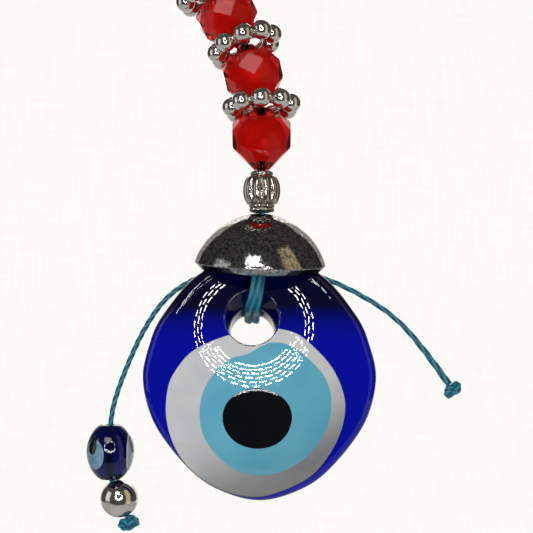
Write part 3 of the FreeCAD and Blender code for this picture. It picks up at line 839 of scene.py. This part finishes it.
def arc_between(start, end, radius, steps):
    """Points on the arc that bulges outwards from start to end, without start."""
    chord = end - start
    outward = Vector((-chord.y, chord.x)).normalized()
    if outward.x + outward.y < 0:
        outward.negate()
    centre = (start + end) / 2 - outward * math.sqrt(radius ** 2 - (chord.length / 2) ** 2)
    first = math.atan2(start.y - centre.y, start.x - centre.x)
    last = math.atan2(end.y - centre.y, end.x - centre.x)
    angles = [first + (last - first) * step / steps for step in range(1, steps + 1)]
    return [centre + Vector((math.cos(a), math.sin(a))) * radius for a in angles]


def cap_rows():
    """Spun dome: rolled lip, outside up to the pierced top, then the inside back down."""
    profile = [Vector(p) for p in (
        (9.0, -0.1), (9.08, -0.22), (9.25, -0.24), (9.42, -0.1), (9.7, 0.17), (10.0, 0.47), (10.28, 0.76),
        (10.38, 0.88), (10.4, 0.98),
    )]
    profile += arc_between(profile[-1], Vector((2.35, CAP_HEIGHT - 0.1)), CAP_BEND, 30)
    profile += [Vector(p) for p in (
        (2.0, CAP_HEIGHT), (1.6, CAP_HEIGHT), (1.4, 8.74), (1.35, 8.55), (1.4, 8.3), (2.2, 8.2),
    )]
    profile += arc_between(profile[-1], Vector((9.85, 1.0)), CAP_BEND, 24)
    profile += [Vector(p) for p in ((9.8, 0.8), (9.4, 0.35))]
    return [ring(128, point.x, point.y) for point in profile]


CAP_AXIS = joint_axis("cap_spin")
cap_foot = joint_point("cap_spin") - CAP_AXIS * (CAP_HEIGHT * MM)
cap = skinned("spun_cap", place_rows(cap_rows(), cap_foot, turn_to(CAP_AXIS)), CAP_CHROME, False, True)
finish_piece(cap, "cap", "polished_metal", "cap")

# ---------------------------------------------------------------- glass disc

DISC = middle_of("glass_disc") / MM
DISC_Y = DISC.y + 0.45
FRONT, BACK = 4.5, 3.6
FRONT_DOME, BACK_DOME = 65.0, 130.0
# Height above the disc's middle and half-width there, down its right side.
HALF_WIDTHS = (
    (16.9, 9.1), (10.2, 15.2), (5.2, 17.5), (-0.5, 18.5), (-7.5, 16.5), (-14.6, 10.95), (-17.9, 6.0),
)
HALF_HEIGHT = 19.4
HOLE_X = -1.15
HOLE_SLOPE = math.tan(math.radians(21.0))
HOLE_LEVEL = 9.91
MOUTH_Z, MOUTH_RADIUS = 9.65, 4.25
HOLE_RADIUS = 3.42
RIM_ROUND = 1.7


def closed_curve(controls, count):
    """Evenly stepped smooth closed curve through given points."""
    total = len(controls)
    points = []
    for index in range(total):
        a, b, c, d = (Vector(controls[(index + k - 1) % total]) for k in range(4))
        for step in range(count):
            t = step / count
            points.append(0.5 * (
                2 * b + (c - a) * t + (2 * a - 5 * b + 4 * c - d) * t ** 2 + (3 * b - a - 3 * c + d) * t ** 3
            ))
    return points


def disc_point(x, y, z):
    return Vector(((DISC.x + x), (DISC_Y + y), (DISC.z + z))) * MM


def front_y(x, z):
    return FRONT_DOME - FRONT - math.sqrt(FRONT_DOME ** 2 - x * x - z * z)


def back_y(x, z):
    return BACK - BACK_DOME + math.sqrt(BACK_DOME ** 2 - x * x - z * z)


def ray_hit(outline, origin, angle):
    """Where a ray from origin meets the outline, and the outline's outward normal there."""
    way = Vector((math.cos(angle), math.sin(angle)))
    for a, b in zip(outline, outline[1:] + outline[:1]):
        side = b - a
        cross = way.x * side.y - way.y * side.x
        if abs(cross) < 1e-12:
            continue
        gap = a - origin
        along = (gap.x * side.y - gap.y * side.x) / cross
        share = (gap.x * way.y - gap.y * way.x) / cross
        if along > 0 and 0 <= share < 1:
            normal = Vector((side.y, -side.x)).normalized()
            if normal.dot(way) < 0:
                normal.negate()
            return origin + way * along, normal
    raise ValueError("the ray misses the outline")


def smoothed(vectors, passes):
    for _ in range(passes):
        count = len(vectors)
        vectors = [
            (vectors[i - 1] + vectors[i] * 2 + vectors[(i + 1) % count]).normalized() for i in range(count)
        ]
    return vectors


def disc_rows():
    """Rings round the hole: front face outwards, rounded rim, back face inwards, then the tunnel."""
    sides = 168
    right = [(width, height) for height, width in HALF_WIDTHS]
    left = [(-width, height) for height, width in reversed(HALF_WIDTHS)]
    outline = closed_curve([(0, HALF_HEIGHT)] + right + [(0, -HALF_HEIGHT)] + left, 24)
    origin = Vector((HOLE_X, 7.2))
    angles = [2 * math.pi * side / sides for side in range(sides)]
    hits = [ray_hit(outline, origin, angle) for angle in angles]
    normals = smoothed([normal for _, normal in hits], 3)
    edge = [point for point, _ in hits]
    inner = [point - normal * RIM_ROUND for point, normal in zip(edge, normals)]

    def circle(centre_z, radius):
        return [Vector((HOLE_X + radius * math.cos(a), centre_z + radius * math.sin(a))) for a in angles]

    def hole_level(y):
        return HOLE_LEVEL - (y + 7.0) * HOLE_SLOPE

    mouth = circle(MOUTH_Z, MOUTH_RADIUS + 0.1)
    back_hole = circle(hole_level(BACK) + 0.25, HOLE_RADIUS + 0.85)
    rows = []
    steps = 26
    for step in range(steps + 1):
        share = step / steps
        flat = [m.lerp(p, share) for m, p in zip(mouth, inner)]
        rows.append([disc_point(p.x, front_y(p.x, p.y), p.y) for p in flat])
    round_steps = 7
    for step in range(1, round_steps + 1):
        a = math.pi / 2 * step / round_steps
        row = []
        for p, normal in zip(inner, normals):
            q = p + normal * (RIM_ROUND * math.sin(a))
            row.append(disc_point(q.x, front_y(p.x, p.y) + RIM_ROUND * (1 - math.cos(a)), q.y))
        rows.append(row)
    for step in range(round_steps, 0, -1):
        a = math.pi / 2 * step / round_steps
        row = []
        for p, normal in zip(inner, normals):
            q = p + normal * (RIM_ROUND * math.sin(a))
            row.append(disc_point(q.x, back_y(p.x, p.y) - RIM_ROUND * (1 - math.cos(a)), q.y))
        rows.append(row)
    for step in range(steps, -1, -1):
        share = step / steps
        flat = [m.lerp(p, share) for m, p in zip(back_hole, inner)]
        rows.append([disc_point(p.x, back_y(p.x, p.y), p.y) for p in flat])
    for y, flare in ((3.3, 0.5), (2.8, 0.22), (2.0, 0.04), (1.0, 0.0), (0.0, 0.0), (-1.0, 0.0)):
        ring_points = circle(hole_level(y) + 0.3 * flare, HOLE_RADIUS + flare)
        rows.append([disc_point(p.x, y, p.y) for p in ring_points])
    flare_start, flare_steps = -1.6, 8
    for step in range(flare_steps + 1):
        share = step / flare_steps
        wide = share ** 1.7
        centre_z = hole_level(flare_start) + (MOUTH_Z - hole_level(flare_start)) * share ** 1.3
        row = []
        for p, m in zip(circle(centre_z, HOLE_RADIUS + (MOUTH_RADIUS - HOLE_RADIUS) * wide), mouth):
            row.append(disc_point(p.x, flare_start + (front_y(m.x, m.y) + 0.06 - flare_start) * share, p.y))
        rows.append(row)
    return rows


glass = skinned("pressed_glass_disc", disc_rows(), COBALT, capped=False, joined=True)
finish_piece(glass, "pendant", "cobalt_glass", "glass_disc")


def lens(name, outline, centre, place, thickness, rounding, material):
    """Closed layer inside an outline: face, rounded edge and back. place maps (point, depth) to 3-D."""
    rows = []
    for share in (0.02, 0.12, 0.25, 0.38, 0.5, 0.62, 0.73, 0.83, 0.91):
        rows.append([place(centre.lerp(p, share), 0.0) for p in outline])
    ways = [(p - centre).normalized() for p in outline]
    for step in range(5):
        a = math.pi / 2 * step / 4
        inset, depth = rounding * (1 - math.sin(a)), rounding * (1 - math.cos(a))
        rows.append([place(p - way * inset, depth) for p, way in zip(outline, ways)])
    for share in (0.995, 0.9, 0.6, 0.3, 0.02):
        rows.append([place(centre.lerp(p, share), thickness) for p in outline])
    return skinned(name, rows, material)


def clipped(outline, centre, clear):
    """Pull an outline's points towards its centre until they are clear of the hole's mouth."""
    hole = Vector((HOLE_X, MOUTH_Z))
    pulled = []
    for p in outline:
        share = 1.0
        while (centre.lerp(p, share) - hole).length < clear and share > 0.3:
            share -= 0.004
        pulled.append(centre.lerp(p, share))
    return pulled


def disc_layer(proud):
    def place(point, depth):
        return disc_point(point.x, front_y(point.x, point.y) - proud + depth, point.y)
    return place


# Edges of the melted layers, from the disc's middle, to the right and up.
WHITE_OUTLINE = [
    (-14.75, -4.24), (-14.35, -1.13), (-13.32, 1.21), (-11.0, 4.07), (-7.93, 5.88), (-4.37, 7.13),
    (-0.81, 7.82), (2.75, 8.03), (6.06, 7.13), (8.6, 5.12), (11.15, 2.28), (12.81, -0.84),
    (13.54, -4.2), (12.96, -7.83), (11.18, -11.73), (8.13, -15.39), (3.53, -17.75), (-0.58, -18.68),
    (-5.19, -17.85), (-9.28, -15.7), (-12.09, -12.84), (-13.82, -9.71), (-14.57, -6.84),
]
BLUE_OUTLINE = [
    (-9.33, -4.67), (-8.94, -2.34), (-7.92, -0.15), (-6.39, 1.8), (-4.36, 3.34), (-2.08, 3.99),
    (-0.55, 4.76), (0.72, 5.53), (2.5, 5.86), (4.78, 5.39), (7.32, 3.59), (9.61, 1.27),
    (10.89, -1.06), (11.27, -3.39), (10.95, -6.49), (9.51, -9.6), (7.09, -12.46), (3.52, -14.54),
    (-0.05, -15.14), (-3.63, -14.28), (-6.42, -12.2), (-8.46, -9.46), (-9.22, -7.0),
]
PUPIL_CENTRE = (-0.32, -6.06)
WHITE_CENTRE = Vector((-0.5, -5.0))
BLUE_CENTRE = Vector((0.9, -4.5))
white_edge = clipped(closed_curve(WHITE_OUTLINE, 12), WHITE_CENTRE, MOUTH_RADIUS + 0.12)
blue_edge = clipped(closed_curve(BLUE_OUTLINE, 12), BLUE_CENTRE, MOUTH_RADIUS + 0.35)
pupil_edge = [
    Vector((PUPIL_CENTRE[0] + 5.43 * math.cos(a) * (1 + 0.012 * math.sin(3 * a)),
            PUPIL_CENTRE[1] + 4.82 * math.sin(a) * (1 + 0.015 * math.cos(2 * a + 0.6))))
    for a in (2 * math.pi * k / 144 for k in range(144))
]
# Name, edge, middle, how proud of the glass, thickness, rounding, material, slot and node.
layers = (
    ("white_layer", white_edge, WHITE_CENTRE, 0.10, 1.35, 0.2, WHITE, "white_glass", "eye_white"),
    ("light_blue_layer", blue_edge, BLUE_CENTRE, 0.13, 0.9, 0.04, LIGHT_BLUE, "light_blue_glass",
     "eye_light_blue"),
    ("pupil_layer", pupil_edge, Vector(PUPIL_CENTRE), 0.16, 0.8, 0.04, BLACK, "black_glass", "eye_pupil"),
)
for name, outline, centre, proud, thickness, rounding, material, slot, node in layers:
    layer = lens(name, outline, centre, disc_layer(proud), thickness, rounding, material)
    finish_piece(layer, "pendant", slot, node)

# ---------------------------------------------------------------- eye bead and silver ball

BEAD_HEIGHT, BEAD_RADIUS, BEAD_END, BEAD_BEND = 8.7, 3.4, 1.7, 5.6
BEAD_BORE = 0.5
bead_middle = joint_point("eye_bead_spin")


def barrel(height):
    """Barrel's radius at a height from its middle, in mm."""
    centre = BEAD_END - math.sqrt(BEAD_BEND ** 2 - (BEAD_HEIGHT / 2) ** 2)
    return centre + math.sqrt(max(BEAD_BEND ** 2 - height ** 2, 0.0))


def bead_flats(angle):
    """Six soft presses round the barrel."""
    return 0.985 + 0.015 * math.cos(6 * angle)


def eye_bead_rows():
    rows = [ring(96, BEAD_BORE, BEAD_HEIGHT / 2 - 0.1), ring(96, 1.35, BEAD_HEIGHT / 2)]
    rows += [ring(96, 1.62, BEAD_HEIGHT / 2 - 0.02), ring(96, 1.8, BEAD_HEIGHT / 2 - 0.14)]
    steps = 30
    for step in range(steps + 1):
        height = (BEAD_HEIGHT / 2 - 0.3) * (1 - 2 * step / steps)
        rows.append(ring(96, barrel(height), height, bead_flats))
    rows += [ring(96, 1.8, -BEAD_HEIGHT / 2 + 0.14), ring(96, 1.62, -BEAD_HEIGHT / 2 + 0.02)]
    rows += [ring(96, 1.35, -BEAD_HEIGHT / 2), ring(96, BEAD_BORE, -BEAD_HEIGHT / 2 + 0.1)]
    return rows


eye_barrel = skinned(
    "eye_bead_barrel", place_rows(eye_bead_rows(), bead_middle, turn_to(UP)), BEAD_COBALT, False, True
)
finish_piece(eye_barrel, "eye_bead", "cobalt_glass", "left_eye_bead")


def on_barrel(bearing, proud):
    """Maps (arc length round the barrel, height) and a depth to a point on the bead, in metres."""
    def place(point, depth):
        radius = barrel(point.y) * bead_flats(math.radians(bearing)) + proud - depth
        angle = math.radians(bearing) + point.x / BEAD_RADIUS
        return bead_middle + at(radius * math.cos(angle), radius * math.sin(angle), point.y)
    return place


def oval(half_width, half_height, centre, narrowing=0.0, count=64):
    """Oval in mm; narrowing draws its top in, as on a falling drop."""
    points = []
    for k in range(count):
        a = 2 * math.pi * k / count
        squeeze = 1.0 - narrowing * max(0.0, math.sin(a)) ** 1.5
        points.append(Vector((
            centre[0] + half_width * squeeze * math.cos(a), centre[1] + half_height * math.sin(a)
        )))
    return points


EYES = (
    ("left", -131.0, 1.85, 2.45, IRIS),
    ("right", -8.0, 1.9, 2.95, GREY_EYE),
)
iris_pieces, drop_pieces = [], []
for name, bearing, half_width, half_height, material in EYES:
    iris_centre = Vector((0.0, -0.15))
    iris = lens("eye_bead_iris_" + name, oval(half_width, half_height, iris_centre), iris_centre,
                on_barrel(bearing, 0.08), 0.5, 0.15, material)
    drop_centre = Vector((-0.1, 1.3))
    drop = lens("eye_bead_drop_" + name, oval(0.82, 1.45, drop_centre, 0.35), drop_centre,
                on_barrel(bearing, 0.13), 0.45, 0.1, BLACK)
    iris_pieces.append(iris)
    drop_pieces.append(drop)
for iris, drop in zip(iris_pieces, drop_pieces):
    finish_piece(iris, "eye_bead", "light_blue_glass", "left_bead_iris")
    finish_piece(drop, "eye_bead", "black_glass", "left_bead_pupil")

ball_shape = ball_rows(3.0, 0.5, steps=48, sides=72, wobble=0.004, seed=5)
silver = skinned("plated_ball", place_rows(ball_shape, ball_centre, turn_to(BALL_AXIS)), CHROME, False, True)
finish_piece(silver, "silver_ball", "polished_metal", "left_silver_ball")

# ---------------------------------------------------------------- free cords: start points, lengths and points, worked out and not used

tuple(left_path[0])
path_length(left_path)
[tuple(p) for p in left_path]
tuple(right_path[0])
path_length(right_path)
[tuple(p) for p in right_path]

# ---------------------------------------------------------------- studio

def linen_material():
    """Pale linen with faint crossing threads; it glows most where the sweep has become a wall."""
    material, tree, shader = surface("pale_linen", {
        "Roughness": 0.9, "Specular IOR Level": 0.1, "Base Color": (0.2, 0.2, 0.197),
    })
    across = noise(tree, 0.35, 2.0, (0.12, 0.12, 2.0))
    upright = noise(tree, 0.35, 2.0, (2.0, 0.12, 0.12))
    both = tree.nodes.new("ShaderNodeMath")
    both.operation = "ADD"
    tree.links.new(across, both.inputs[0])
    tree.links.new(upright, both.inputs[1])
    half = tree.nodes.new("ShaderNodeMath")
    half.operation = "MULTIPLY"
    half.inputs[1].default_value = 0.5
    tree.links.new(both.outputs["Value"], half.inputs[0])
    colour = ramp(tree, half.outputs["Value"], [(0.3, (0.90, 0.888, 0.86)), (0.7, (0.96, 0.95, 0.925))])
    tree.links.new(colour, shader.inputs["Emission Color"])
    place = tree.nodes.new("ShaderNodeTexCoord")
    split = tree.nodes.new("ShaderNodeSeparateXYZ")
    glow = tree.nodes.new("ShaderNodeMapRange")
    glow.interpolation_type = "SMOOTHSTEP"
    glow.inputs["From Min"].default_value = 250 * MM
    glow.inputs["From Max"].default_value = 620 * MM
    glow.inputs["To Min"].default_value = 0.36
    glow.inputs["To Max"].default_value = 0.97
    tree.links.new(place.outputs["Object"], split.inputs["Vector"])
    tree.links.new(split.outputs["Y"], glow.inputs["Value"])
    tree.links.new(glow.outputs["Result"], shader.inputs["Emission Strength"])
    return material


def sweep(name, material):
    """Floor that curves up into a backdrop."""
    floor_z, wall_y, bend, half_width, near_edge = -300.0, 800.0, 250.0, 650.0, -270.0
    profile = [(near_edge, floor_z), (wall_y - bend, floor_z)]
    for step in range(1, 13):
        a = math.pi / 2 * step / 12
        profile.append((wall_y - bend + bend * math.sin(a), floor_z + bend * (1 - math.cos(a))))
    profile.append((wall_y, 700.0))
    points, faces = [], []
    for y, z in profile:
        points += [at(-half_width, y, z), at(half_width, y, z)]
    for index in range(len(profile) - 1):
        first = index * 2
        faces.append((first, first + 1, first + 3, first + 2))
    mesh = bpy.data.meshes.new(name)
    mesh.from_pydata(points, [], faces)
    return mesh_object(name, mesh, material)


sweep("backdrop", linen_material())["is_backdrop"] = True

world = bpy.data.worlds.new("studio")
world.use_nodes = True
scene.world = world
tree = world.node_tree
background = tree.nodes["Background"]
background.inputs["Color"].default_value = (0.07, 0.068, 0.065, 1.0)
background.inputs["Strength"].default_value = 1.0
plain = tree.nodes.new("ShaderNodeBackground")
plain.inputs["Color"].default_value = (0.93, 0.92, 0.893, 1.0)
seen = tree.nodes.new("ShaderNodeLightPath")
choice = tree.nodes.new("ShaderNodeMixShader")
output = tree.nodes["World Output"]
tree.links.new(seen.outputs["Is Camera Ray"], choice.inputs["Fac"])
tree.links.new(background.outputs["Background"], choice.inputs[1])
tree.links.new(plain.outputs["Background"], choice.inputs[2])
tree.links.new(choice.outputs["Shader"], output.inputs["Surface"])


def softbox(name, place, target, width, height, power, colour=(1, 1, 1)):
    data = bpy.data.lights.new(name, "AREA")
    data.shape = "RECTANGLE"
    data.size, data.size_y = width * MM, height * MM
    data.energy = power
    data.color = colour
    lamp = bpy.data.objects.new(name, data)
    lamp.location = place
    lamp.rotation_euler = (target - place).to_track_quat("-Z", "Y").to_euler()
    scene.collection.objects.link(lamp)
    return lamp


# Ring light round the camera: circles of small lamps, six deep below and three deep above.
RING_CENTRE = at(2.0, -252.0, -41.0)
LAMPS = 34
ring_data = bpy.data.lights.new("ring_lamp", "AREA")
ring_data.shape = "RECTANGLE"
ring_data.size, ring_data.size_y = 10.5 * MM, 1.1 * MM
ring_data.energy = 0.0026
for circle, radius in enumerate((64.0, 70.0, 76.0, 82.0, 88.0, 94.0)):
    for lamp_index in range(LAMPS):
        angle = 2 * math.pi * (lamp_index + 0.37 * circle) / LAMPS
        if circle < 3 and math.sin(angle) > -0.45:
            continue
        lamp = bpy.data.objects.new("ring_lamp_%d_%d" % (circle, lamp_index), ring_data)
        lamp.location = RING_CENTRE + at(radius * math.cos(angle), 0, radius * math.sin(angle))
        lamp.rotation_euler = (math.radians(90), math.pi / 2 - angle, 0)
        scene.collection.objects.link(lamp)
heart = at(10, -4, -90)
softbox("high_softbox", at(-60, -330, 160), heart, 150, 110, 0.26, (1.0, 0.97, 0.92))
softbox("warm_card", at(330, -180, -60), heart, 200, 800, 0.24, (1.0, 0.74, 0.46))
softbox("left_card", at(-330, -120, -40), heart, 200, 300, 0.13)
back_light = softbox("back_light", at(0, 420, 120), heart, 300, 300, 0.7)
back_light.visible_transmission = False

low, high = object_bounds()
